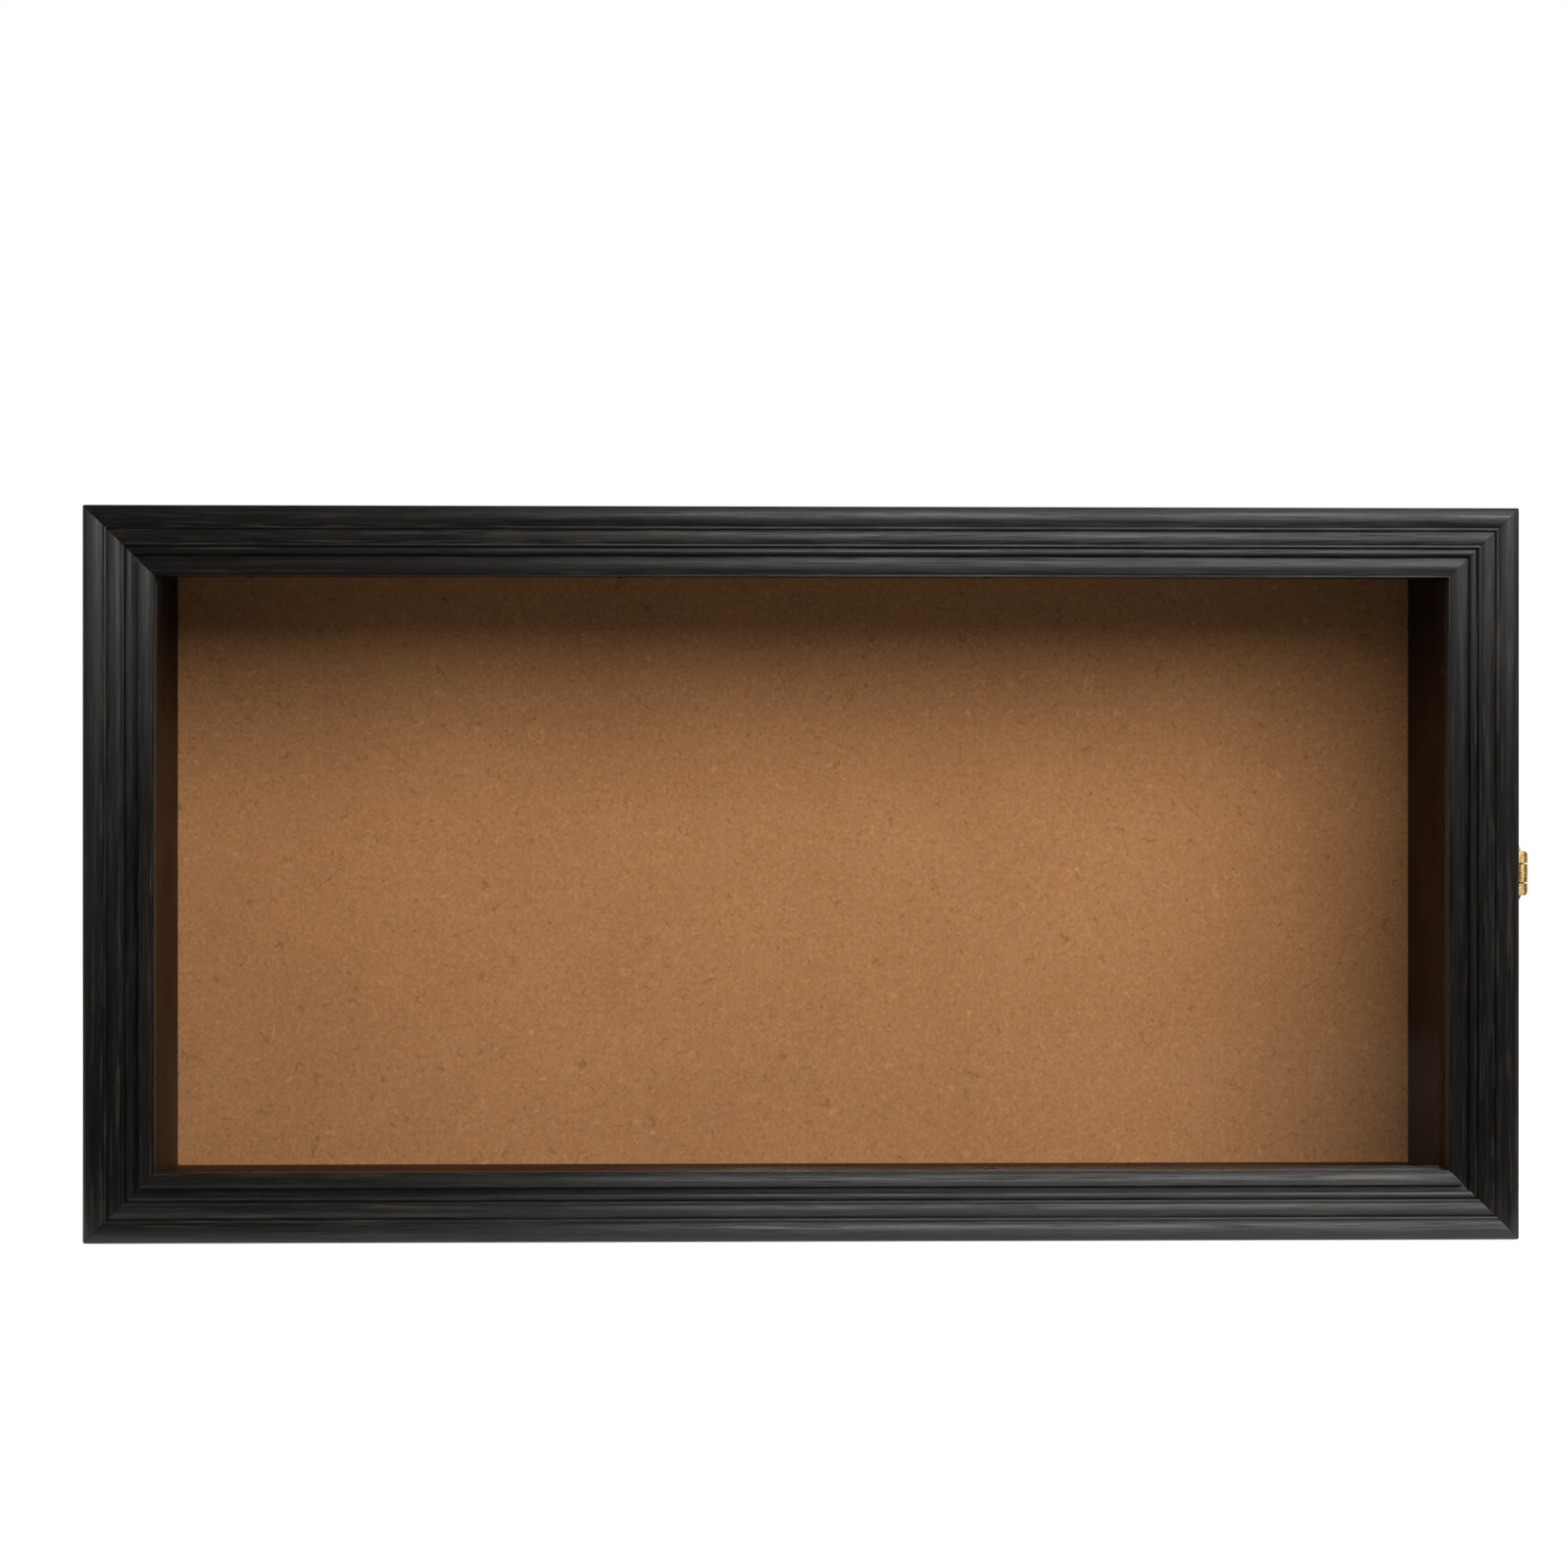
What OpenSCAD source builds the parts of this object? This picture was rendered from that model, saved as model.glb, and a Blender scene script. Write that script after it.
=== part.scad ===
// Display case for mounted butterflies: a black wooden box with a glazed, moulded door.
// X runs to the right, the door faces -Y and Z is up.
// The origin is the middle of the flat underside of the case.

/* [Case] */
// Width of the case
case_w = 400; // [300:5:600]
// Height of the case
case_h = 205; // [170:5:400]
// Depth of the case behind the door
case_d = 78; // [40:1:110]
// Thickness of the case boards
wall_t = 12.5; // [12:0.5:17]
// Thickness of the lining inside the case
liner_t = 1.5; // [1.5:0.5:4]
// Width of the rebate that holds the back panel
back_rebate_w = 5; // [4:0.5:7]
// Thickness of the back panel
back_t = 3; // [2:0.5:5]
// How far the back panel lies inside the rear edges
back_recess = 1.4; // [0:0.2:4]
// Thickness of the soft board that pins go into
board_t = 6; // [4:0.5:10]
// Brads along each long side of the back panel
brads_long = 5; // [3:1:9]
// Brads along each short side of the back panel
brads_short = 3; // [2:1:5]

/* [Door] */
// Thickness of the door at its highest reed
door_t = 18; // [16:0.5:22]
// How far the door's edge lies inside the case's edge
door_reveal = 0.4; // [0.3:0.1:1]
// Gap between the closed door and the case
seam_gap = 0.4; // [0.4:0.1:1]
// Width of the outer reed
outer_reed_w = 5.5; // [4.5:0.1:6.8]
// Width of the middle reed
middle_reed_w = 3.9; // [3.2:0.1:4.8]
// Width of the fine line beside each of those reeds
fillet_w = 0.9; // [0.7:0.1:1]
// Width of the small bead
small_bead_w = 2.3; // [1.8:0.1:2.4]
// Width of the quirk beside the bead
quirk_w = 1.7; // [1.2:0.1:2.4]
// Width of the inner reed
inner_reed_w = 3.4; // [2.8:0.1:4.2]
// Width of the flat lip at the sight edge
lip_w = 0.5; // [0.4:0.1:2]
// Depth of the rebate that the glass lies in
rebate_d = 9; // [7.5:0.5:11]

/* [Glass] */
// Thickness of the glass
glass_t = 2; // [1.5:0.5:3]
// Gap round the glass in its rebate
glass_gap = 0.5; // [0.3:0.1:1]
// Thickness of the beads that hold the glass
glazing_bead_t = 3; // [2.5:0.5:4]

/* [Hinges] */
// Length of a hinge
hinge_l = 25; // [20:1:40]
// Distance from the case's end to the middle of a hinge
hinge_inset = 38; // [30:1:60]
// Thickness of a hinge leaf
leaf_t = 0.7; // [0.5:0.1:0.9]
// Radius of the hinge barrel
barrel_r = 1.4; // [1.2:0.1:1.8]
// Radius of the hinge pin
hinge_pin_r = 0.6; // [0.5:0.1:0.8]

/* [Clasp] */
// Width of the clasp's lever
lever_w = 25.4; // [22:0.2:32]
// Length of the lever behind the door
lever_l = 13.5; // [12:0.5:18]
// Thickness of the sheet brass
brass_t = 0.6; // [0.5:0.1:0.8]
// Distance from the door's side to the axis of the clasp's pin
clasp_pin_out = 4; // [3.6:0.1:5]
// Radius of the clasp's barrel
clasp_barrel_r = 1.9; // [1.6:0.1:2.2]
// Radius of the clasp's pin
clasp_pin_r = 0.8; // [0.6:0.1:0.9]

/* [Hidden] */
$fn = 48;

// Colours
black_wood = "#1d1a18";
dark_wood = "#2b1d13";
brown_board = "#94643a";
hardboard = "#6d4a2c";
pale_glass = "#cfdcdd";
brass = "#c8a45c";
steel = "#8f9194";

// Clearances
mitre_gap = 0.06;     // open line at each mitre
fastener_gap = 0.05;  // round a nail or screw in its hole
pin_gap = 0.05;       // round a hinge pin in its bore
swing_gap = 0.3;      // between pieces that swing past each other
lip_gap = 0.4;        // between the door's rebate and the dust lip
board_gap = 0.3;      // round a panel in its frame
lip_end_gap = 1.2;    // between the dust lip and the glazing beads
clasp_swing = 0.9;    // between the clasp's barrel and the back of the door
lever_gap = 0.35;     // between the lever's long edges and the case
bump_gap = 0.5;       // between the lever's nib and the catch
past = 1;             // how far a cut runs past a face

// Sharp outer edges are eased by this much
case_ease = 0.5;
door_ease = 0.3;

// Levels along Y, from the front to the back
case_front = -case_d / 2;
case_rear = case_d / 2;
door_back = case_front - seam_gap;
back_front = case_rear - back_recess - back_t;
board_front = back_front - board_t;

// Door outline
door_w = case_w - 2 * door_reveal;
door_h = case_h - 2 * door_reveal;

// Section of the door's moulding: each member starts this far in from the outer edge
outer_fillet_at = outer_reed_w;
middle_reed_at = outer_fillet_at + fillet_w;
middle_fillet_at = middle_reed_at + middle_reed_w;
small_bead_at = middle_fillet_at + fillet_w;
quirk_at = small_bead_at + small_bead_w;
inner_reed_at = quirk_at + quirk_w;
lip_at = inner_reed_at + inner_reed_w;
rail_w = lip_at + lip_w;

// Heights of its members above the back of the door, stepping down towards the quirk
outer_foot = door_t - 1.15;
outer_fillet_crest = door_t - 0.8;
middle_crest = door_t - 1.1;
middle_foot = door_t - 1.8;
middle_fillet_crest = door_t - 1.5;
small_crest = door_t - 2;
small_foot = door_t - 2.8;
quirk_floor = door_t - 4;
inner_crest = door_t - 1.9;
inner_foot = door_t - 3;
lip_top = door_t - 3.5;
inner_reed_peak = 0.18;                 // the inner reed is highest near the quirk

// Rebate behind the sight edge, for the dust lip and the glass
rebate_start = wall_t - door_reveal - lip_gap;

// Liner strips: set back behind the door's sight edge, and proud of the case as a dust lip
dust_lip = seam_gap + rebate_d - glass_t - glazing_bead_t - lip_end_gap;
liner_w = case_w - 2 * wall_t;
liner_h = case_h - 2 * wall_t;
lip_bevel = 0.8;

// Glazing beads: just behind the sight edge
glazing_bead_set = 0.2;
glazing_bead_in = rebate_start + fastener_gap;
glazing_bead_w = rail_w - glazing_bead_set - glazing_bead_in;
glazing_bead_bevel = 1.2;
glazing_bead_back = rebate_d - glass_t - glazing_bead_t;

// Radius of the blunt tip of a nail, pin or screw
tip_r = 0.1;

// Back panel's brads
brad_r = 0.6;
brad_head_r = 1.3;
brad_head_t = 0.6;
brad_l = 12;
brad_in = wall_t - back_rebate_w / 2;
brad_corner = 22;

// Glazing pins
glazing_pin_r = 0.45;
glazing_pin_head_r = 0.75;
glazing_pin_head_t = 0.35;
glazing_pin_l = 10;
glazing_pin_corner = 45;

// V-shaped nails across the door's mitres
corner_nail_in = 5;
corner_nail_leg = 5.5;
corner_nail_t = 0.5;
corner_nail_d = 7;

// Hanger on the back of the top board
hanger_l = 44;
hanger_h = 6.5;
hanger_t = 0.8;
hanger_stand = 1.6;
hanger_tab = 6.5;
hanger_step = 2;
hanger_below_top = 0.6;
tooth_pitch = 2;
tooth_w = 1.6;
tooth_d = 1.4;
tooth_reach = 11;
hanger_nail_r = 0.7;
hanger_nail_head_r = 1.5;
hanger_nail_l = 12;

// Hinges
hinge_out = 0.2;
hinge_x = -case_w / 2 - hinge_out;
hinge_y = case_front - seam_gap / 2;
upper_hinge_z = case_h - hinge_inset;
lower_hinge_z = hinge_inset;
knuckles = 5;
knuckle_l = hinge_l / knuckles;
leaf_margin = 2.7;                      // wood left beyond a leaf, to the inside of the case
leaf_w = wall_t + hinge_out - leaf_margin;
hinge_pin_head_r = 1.05;
hinge_pin_head_t = 0.5;
screw_in = (barrel_r + swing_gap + leaf_w) / 2;
screw_z = 0.3 * hinge_l;
screw_r = 0.9;
screw_head_r = 1.9;
screw_head_t = 1;
screw_l = 9;
screw_slot_w = 0.45;
screw_slot_d = 0.35;

// Clasp on the right side, at mid height
clasp_z = case_h / 2;
clasp_x = door_w / 2;
clasp_pin_y = door_back - clasp_barrel_r - clasp_swing;
clasp_pin_x = clasp_x + clasp_pin_out;
middle_knuckle = 5.2;
lug_l = 3.4;
lug_start = middle_knuckle / 2 + swing_gap;
lug_end = lug_start + lug_l;
door_plate_w = lever_w - 1.4;
door_plate_end = door_back - door_ease - 0.2;
door_plate_l = 8;
plate_corner_r = 1.5;
plate_nail_in = 1.8;
door_nail_z = door_plate_w / 2 - plate_nail_in;
door_nail_y = door_plate_end - door_plate_l / 2;
clasp_nail_r = 0.6;
clasp_nail_head_r = 1.1;
clasp_nail_head_t = 0.75;
clasp_nail_l = 8;
strap_l = 3.2;
strap_drop = 0.15;
strap_t = 0.7;
lever_front = clasp_pin_y + strap_l;
lever_lift = case_w / 2 + lever_gap;
lever_crown = clasp_pin_x + clasp_barrel_r;
lever_rise = lever_crown - lever_lift;
lever_r = (pow(lever_w / 2, 2) + pow(lever_rise, 2)) / (2 * lever_rise);
shoulder_l = 4;
shoulder_r = 1;
bill_w = 11;
bill_r = 1.6;
roll_r = 0.75;
nib_r = 1.4;
nib_d = 0.6;
catch_w = lever_w - 5.8;
catch_l = 10.5;
catch_start = case_front + case_ease + 0.2;
catch_nail_in = 2.6;
catch_nail_z = catch_w / 2 - catch_nail_in;
bump_w = 6.4;
bump_l = 7.6;
bump_rise = lever_crown - brass_t - nib_d - bump_gap - case_w / 2;

// Points of an arc round a centre, from one angle to another
function arc(centre, r, from, to, steps) =
    [for (i = [0:steps]) let (a = from + (to - from) * i / steps) centre + r * [cos(a), sin(a)]];

// Radius of an arc over a chord
function arc_radius(chord, rise) = (pow(chord / 2, 2) + pow(rise, 2)) / (2 * rise);

// Evenly spaced places from -reach to reach
function spread(count, reach) = [for (i = [0:count - 1]) -reach + 2 * reach * i / (count - 1)];

// A bar along X with the section of its children, drawn looking along X with Y to the right and Z up
module bar(length) {
    rotate([90, 0, 90]) linear_extrude(length, center = true) children();
}

// Ends of a bar along X cut at 45 degrees, with the sharp corner eased; its long outer face lies at z = 0
module mitred(length, width, ease) {
    half = length / 2 - mitre_gap * sqrt(2) / 2;
    tip = half - ease / 2;
    slant = ease / 2 + past;
    intersection() {
        children();
        rotate([90, 0, 0])
            linear_extrude(4 * case_d, center = true)
                polygon([
                    [-tip + slant, -past], [tip - slant, -past], [tip, ease / 2],
                    [half - width - past, width + past], [-half + width + past, width + past],
                    [-tip, ease / 2]
                ]);
    }
}

// A bar of the bottom side moved to one side of a w by h frame that stands on z = 0
module on_side(side, w, h) {
    if (side == "bottom") children();
    if (side == "top") translate([0, 0, h]) mirror([0, 0, 1]) children();
    if (side == "left") translate([-w / 2, 0, h / 2]) rotate([0, 90, 0]) children();
    if (side == "right") translate([w / 2, 0, h / 2]) rotate([0, -90, 0]) children();
}

// The shank of a nail or screw along +Z, with a point as long as it is thick
module shank(r, length) {
    cylinder(r = r, h = length - 2 * r);
    translate([0, 0, length - 2 * r]) cylinder(r1 = r, r2 = tip_r, h = 2 * r);
}

// A nail along +Z with its flat head below z = 0
module nail(r, length, head_r, head_t) {
    shank(r, length);
    translate([0, 0, -head_t]) cylinder(r = head_r, h = head_t);
}

// The round hole that a nail of that size needs
module nail_hole(r, length) {
    translate([0, 0, -past]) cylinder(r = r + fastener_gap, h = length + past + fastener_gap);
}

// Case boards

module case_section() {
    polygon([
        [case_front, wall_t], [case_front, case_ease], [case_front + case_ease, 0],
        [case_rear - case_ease, 0], [case_rear, case_ease],
        [case_rear, wall_t - back_rebate_w], [back_front, wall_t - back_rebate_w], [back_front, wall_t]
    ]);
}

module case_board(side) {
    length = side == "top" || side == "bottom" ? case_w : case_h;
    color(black_wood)
        difference() {
            on_side(side, case_w, case_h) mitred(length, wall_t, case_ease) bar(length) case_section();
            brad_holes();
        }
}

module case_top() {
    difference() {
        case_board("top");
        hanger_nail_places() nail_hole(hanger_nail_r, hanger_nail_l);
    }
}

module case_bottom() {
    case_board("bottom");
}

module case_left_side() {
    difference() {
        case_board("left");
        for (z = [lower_hinge_z, upper_hinge_z]) translate([hinge_x, hinge_y, z]) hinge_seat(1);
    }
}

module case_right_side() {
    difference() {
        case_board("right");
        catch_nail_places() nail_hole(clasp_nail_r, clasp_nail_l);
    }
}

// Liner strips inside the case

module liner_section() {
    front = case_front - dust_lip;
    polygon([
        [front + lip_bevel, 0], [board_front, 0], [board_front, liner_t],
        [front + lip_bevel / 2, liner_t], [front, liner_t - lip_bevel / 2], [front, lip_bevel]
    ]);
}

module liner(side) {
    length = side == "top" || side == "bottom" ? liner_w : liner_h;
    color(dark_wood)
        translate([0, 0, wall_t])
            on_side(side, liner_w, liner_h) mitred(length, liner_t, 0) bar(length) liner_section();
}

module liner_top() {
    liner("top");
}

module liner_bottom() {
    liner("bottom");
}

module liner_left() {
    liner("left");
}

module liner_right() {
    liner("right");
}

// Boards at the back

module pinning_board() {
    w = liner_w - 2 * board_gap;
    h = liner_h - 2 * board_gap;
    color(brown_board)
        translate([-w / 2, board_front, case_h / 2 - h / 2]) cube([w, board_t, h]);
}

module back_panel() {
    w = liner_w + 2 * back_rebate_w - 2 * board_gap;
    h = liner_h + 2 * back_rebate_w - 2 * board_gap;
    color(hardboard)
        difference() {
            translate([-w / 2, back_front, case_h / 2 - h / 2]) cube([w, back_t, h]);
            brad_holes();
        }
}

// Brads stand square to the back panel, in the middle of its rebate
module brad_places() {
    for (x = spread(brads_long, case_w / 2 - brad_corner), z = [brad_in, case_h - brad_in])
        translate([x, back_front + back_t, z]) rotate([90, 0, 0]) children();
    for (z = spread(brads_short, case_h / 2 - 2 * brad_corner), x = [brad_in, case_w - brad_in])
        translate([x - case_w / 2, back_front + back_t, case_h / 2 + z]) rotate([90, 0, 0]) children();
}

module brad_holes() {
    brad_places() nail_hole(brad_r, brad_l);
}

module back_panel_brads() {
    color(steel) brad_places() nail(brad_r, brad_l, brad_head_r, brad_head_t);
}

// Hanger: a strip that stands off the wood between its ends, with teeth along its lower edge

module sawtooth_hanger() {
    end = hanger_l / 2;
    tab = end - hanger_tab;
    middle = tab - hanger_step;
    half = [
        [end, 0], [end, hanger_t], [tab + hanger_t / 2, hanger_t],
        [middle + hanger_t / 2, hanger_stand + hanger_t]
    ];
    under = [[middle, hanger_stand], [tab, 0]];
    outline = concat(
        half,
        [for (i = [3:-1:0]) [-half[i][0], half[i][1]]],
        [for (i = [1:-1:0]) [-under[i][0], under[i][1]]],
        under
    );
    color(brass)
        difference() {
            translate([0, case_rear, case_h - hanger_below_top - hanger_h])
                linear_extrude(hanger_h) polygon(outline);
            for (x = [-tooth_reach:tooth_pitch:tooth_reach])
                translate([x, case_rear, case_h - hanger_below_top - hanger_h])
                    rotate([90, 0, 0])
                        linear_extrude(4 * hanger_stand, center = true)
                            polygon([[-tooth_w / 2, -past], [0, tooth_d], [tooth_w / 2, -past]]);
            hanger_nail_places() nail_hole(hanger_nail_r, hanger_nail_l);
        }
}

module hanger_nail_places() {
    for (x = [-1, 1] * (hanger_l / 2 - hanger_tab / 2))
        translate([x, case_rear + hanger_t, case_h - hanger_below_top - hanger_h / 2])
            rotate([90, 0, 0]) children();
}

module hanger_nails() {
    color(steel) hanger_nail_places() nail(hanger_nail_r, hanger_nail_l, hanger_nail_head_r, hanger_t);
}

// Door frame: a reeded moulding, mitred at the corners

// A rounded member of the moulding: an arc that is highest at a share of its width and ends on its foot
module reed(at, width, foot, crest, peak = 0.5) {
    r = arc_radius(2 * (1 - peak) * width, crest - foot);
    intersection() {
        translate([r - crest, at + peak * width]) circle(r);
        translate([-crest - past, at]) square([crest - foot + 2 * past, width]);
    }
}

// Steps under the rounded members, and the quirk and lip between them
module rail_steps() {
    polygon([
        [-door_ease, 0], [0, door_ease], [0, rail_w], [-lip_top, rail_w], [-lip_top, lip_at],
        [-inner_foot, lip_at], [-inner_foot, inner_reed_at],
        [-quirk_floor, inner_reed_at], [-quirk_floor, quirk_at],
        [-small_foot, quirk_at], [-small_foot, small_bead_at],
        [-middle_foot, small_bead_at], [-middle_foot, middle_reed_at],
        [-outer_foot, middle_reed_at], [-outer_foot, 0]
    ]);
}

module rail_section() {
    difference() {
        union() {
            rail_steps();
            reed(0, outer_reed_w, outer_foot, door_t);
            reed(outer_fillet_at, fillet_w, outer_foot, outer_fillet_crest);
            reed(middle_reed_at, middle_reed_w, middle_foot, middle_crest);
            reed(middle_fillet_at, fillet_w, middle_foot, middle_fillet_crest);
            reed(small_bead_at, small_bead_w, small_foot, small_crest);
            reed(inner_reed_at, inner_reed_w, inner_foot, inner_crest, inner_reed_peak);
        }
        translate([-rebate_d, rebate_start]) square([rebate_d + past, rail_w]);
    }
}

module door_bar(side) {
    length = side == "top" || side == "bottom" ? door_w : door_h;
    color(black_wood)
        difference() {
            translate([0, door_back, door_reveal])
                on_side(side, door_w, door_h) mitred(length, rail_w, door_ease) bar(length) rail_section();
            corner_nail_places() corner_nail(fastener_gap);
            glazing_pin_places(side) nail_hole(glazing_pin_r, glazing_pin_l);
        }
}

module door_top_rail() {
    door_bar("top");
}

module door_bottom_rail() {
    door_bar("bottom");
}

module door_left_stile() {
    difference() {
        door_bar("left");
        for (z = [lower_hinge_z, upper_hinge_z]) translate([hinge_x, hinge_y, z]) hinge_seat(-1);
    }
}

module door_right_stile() {
    difference() {
        door_bar("right");
        door_nail_places() nail_hole(clasp_nail_r, clasp_nail_l);
    }
}

// A V-shaped nail, with one leg in each rail, driven in from the back of the door
module corner_nail(gap = 0) {
    t = corner_nail_t;
    leg = corner_nail_leg;
    depth = corner_nail_d + gap;
    translate([-gap, -depth, -gap]) cube([leg + 2 * gap, depth + (gap > 0 ? past : 0), t + 2 * gap]);
    translate([-gap, -depth, -gap]) cube([t + 2 * gap, depth + (gap > 0 ? past : 0), leg + 2 * gap]);
}

module corner_nail_places() {
    for (right = [0, 1], top = [0, 1])
        translate([0, door_back, case_h / 2])
            mirror([right, 0, 0]) mirror([0, 0, top])
                translate([-door_w / 2 + corner_nail_in, 0, -door_h / 2 + corner_nail_in]) children();
}

module door_corner_nails() {
    color(steel) corner_nail_places() corner_nail();
}

// Glass and its beads

module glass_pane() {
    w = door_w - 2 * rebate_start - 2 * glass_gap;
    h = door_h - 2 * rebate_start - 2 * glass_gap;
    color(pale_glass, 0.35)
        translate([-w / 2, door_back - rebate_d, case_h / 2 - h / 2]) cube([w, glass_t, h]);
}

module glazing_bead_section() {
    polygon([
        [-glazing_bead_back - glazing_bead_t, 0],
        [-glazing_bead_back, 0],
        [-glazing_bead_back, glazing_bead_w - glazing_bead_bevel],
        [-glazing_bead_back - glazing_bead_bevel, glazing_bead_w],
        [-glazing_bead_back - glazing_bead_t, glazing_bead_w]
    ]);
}

module glazing_bead(side) {
    w = door_w - 2 * glazing_bead_in;
    h = door_h - 2 * glazing_bead_in;
    length = side == "top" || side == "bottom" ? w : h;
    color(dark_wood)
        difference() {
            translate([0, door_back, door_reveal + glazing_bead_in])
                on_side(side, w, h) mitred(length, glazing_bead_w, 0) bar(length) glazing_bead_section();
            glazing_pin_places(side) nail_hole(glazing_pin_r, glazing_pin_l);
        }
}

module glazing_bead_top() {
    glazing_bead("top");
}

module glazing_bead_bottom() {
    glazing_bead("bottom");
}

module glazing_bead_left() {
    glazing_bead("left");
}

module glazing_bead_right() {
    glazing_bead("right");
}

// Pins run from a bead's inner face out into the rail behind it
module glazing_pin_places(side) {
    long = side == "top" || side == "bottom";
    reach = (long ? door_w : door_h) / 2 - glazing_pin_corner;
    level = glazing_bead_back + glazing_bead_bevel + (glazing_bead_t - glazing_bead_bevel) / 2;
    translate([0, door_back - level, door_reveal])
        on_side(side, door_w, door_h)
            for (x = spread(long ? 4 : 2, reach))
                translate([x, 0, glazing_bead_in + glazing_bead_w]) rotate([180, 0, 0]) children();
}

module glazing_pins() {
    color(steel)
        for (side = ["top", "bottom", "left", "right"])
            glazing_pin_places(side)
                nail(glazing_pin_r, glazing_pin_l, glazing_pin_head_r, glazing_pin_head_t);
}

// Hinges: the axis runs along Z through the origin; facing is 1 for the case's leaf and -1 for the door's

module hinge_leaf(facing) {
    own = facing == 1 ? [0:2:knuckles - 1] : [1:2:knuckles - 1];
    other = facing == 1 ? [1:2:knuckles - 1] : [0:2:knuckles - 1];
    face = facing == 1 ? seam_gap / 2 : -seam_gap / 2 - leaf_t;
    color(brass)
        difference() {
            union() {
                difference() {
                    translate([0, face, -hinge_l / 2]) cube([leaf_w, leaf_t, hinge_l]);
                    for (i = other)
                        translate([0, 0, -hinge_l / 2 + i * knuckle_l - swing_gap / 2])
                            cylinder(r = barrel_r + swing_gap, h = knuckle_l + swing_gap);
                }
                for (i = own)
                    translate([0, 0, -hinge_l / 2 + i * knuckle_l + swing_gap / 2])
                        cylinder(r = barrel_r, h = knuckle_l - swing_gap);
            }
            cylinder(r = hinge_pin_r + pin_gap, h = hinge_l + 2 * past, center = true);
            leaf_screw_places(facing) countersunk_hole();
        }
}

module hinge_pin() {
    color(brass) {
        cylinder(r = hinge_pin_r, h = hinge_l + swing_gap, center = true);
        for (end = [0, 1])
            mirror([0, 0, end])
                translate([0, 0, hinge_l / 2 + swing_gap / 2])
                    cylinder(r1 = hinge_pin_head_r, r2 = hinge_pin_r, h = hinge_pin_head_t);
    }
}

// The wood that a closed hinge takes away: a shallow seat for one leaf and a cove for the barrel
module hinge_seat(facing) {
    seat_t = leaf_t + fastener_gap;
    seat_l = hinge_l + 2 * swing_gap;
    face = facing == 1 ? seam_gap / 2 - past : -seam_gap / 2 - seat_t;
    translate([-past, face, -seat_l / 2]) cube([leaf_w + past + swing_gap, seat_t + past, seat_l]);
    cylinder(r = barrel_r + swing_gap, h = seat_l + 4 * hinge_pin_head_t, center = true);
    leaf_screw_places(facing) countersunk_hole();
}

// Screws stand on a leaf's face and point into the wood
module leaf_screw_places(facing) {
    for (z = [-screw_z, screw_z])
        translate([screw_in, facing * seam_gap / 2, z]) rotate([-90 * facing, 0, 0]) children();
}

module screw() {
    difference() {
        union() {
            cylinder(r1 = screw_head_r, r2 = screw_r, h = screw_head_t);
            shank(screw_r, screw_l);
        }
        translate([-screw_head_r - past, -screw_slot_w / 2, -past])
            cube([2 * screw_head_r + 2 * past, screw_slot_w, screw_slot_d + past]);
    }
}

module countersunk_hole() {
    gap = fastener_gap;
    cylinder(r1 = screw_head_r + gap, r2 = screw_r + gap, h = screw_head_t);
    translate([0, 0, -past]) cylinder(r = screw_r + gap, h = screw_l + past + gap);
}

module upper_hinge_case_leaf() {
    translate([hinge_x, hinge_y, upper_hinge_z]) hinge_leaf(1);
}

module upper_hinge_door_leaf() {
    translate([hinge_x, hinge_y, upper_hinge_z]) hinge_leaf(-1);
}

module upper_hinge_pin() {
    translate([hinge_x, hinge_y, upper_hinge_z]) hinge_pin();
}

module lower_hinge_case_leaf() {
    translate([hinge_x, hinge_y, lower_hinge_z]) hinge_leaf(1);
}

module lower_hinge_door_leaf() {
    translate([hinge_x, hinge_y, lower_hinge_z]) hinge_leaf(-1);
}

module lower_hinge_pin() {
    translate([hinge_x, hinge_y, lower_hinge_z]) hinge_pin();
}

module hinge_case_screws() {
    color(brass)
        for (z = [lower_hinge_z, upper_hinge_z])
            translate([hinge_x, hinge_y, z]) leaf_screw_places(1) screw();
}

module hinge_door_screws() {
    color(brass)
        for (z = [lower_hinge_z, upper_hinge_z])
            translate([hinge_x, hinge_y, z]) leaf_screw_places(-1) screw();
}

// Clasp: pieces lie on the right side, with X pointing away from the wood

// A flat plate with round corners, from one Y to another, centred on the clasp's height
module side_plate(x, from, to, width) {
    r = plate_corner_r;
    half = width / 2;
    translate([x, 0, clasp_z])
        rotate([90, 0, 90])
            linear_extrude(brass_t)
                polygon(concat(
                    arc([to - r, half - r], r, 0, 90, 6), arc([from + r, half - r], r, 90, 180, 6),
                    arc([from + r, r - half], r, 180, 270, 6), arc([to - r, r - half], r, 270, 360, 6)
                ));
}

// A lug of the door's plate: round about the pin, and rounded at its outer end
module clasp_lug() {
    r = clasp_barrel_r;
    web = clasp_pin_out - brass_t / 2;
    intersection() {
        translate([0, 0, lug_start])
            linear_extrude(lug_l)
                union() {
                    circle(r);
                    translate([-web, -r]) square([web, 2 * r]);
                }
        rotate([90, 0, 0])
            linear_extrude(4 * r, center = true)
                polygon(concat(
                    [[-clasp_pin_out - past, 0], [r + past, 0]],
                    [[r + past, lug_end - r]],
                    arc([0, lug_end - r], r, 0, 90, 8),
                    [[-clasp_pin_out - past, lug_end]]
                ));
    }
}

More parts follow.
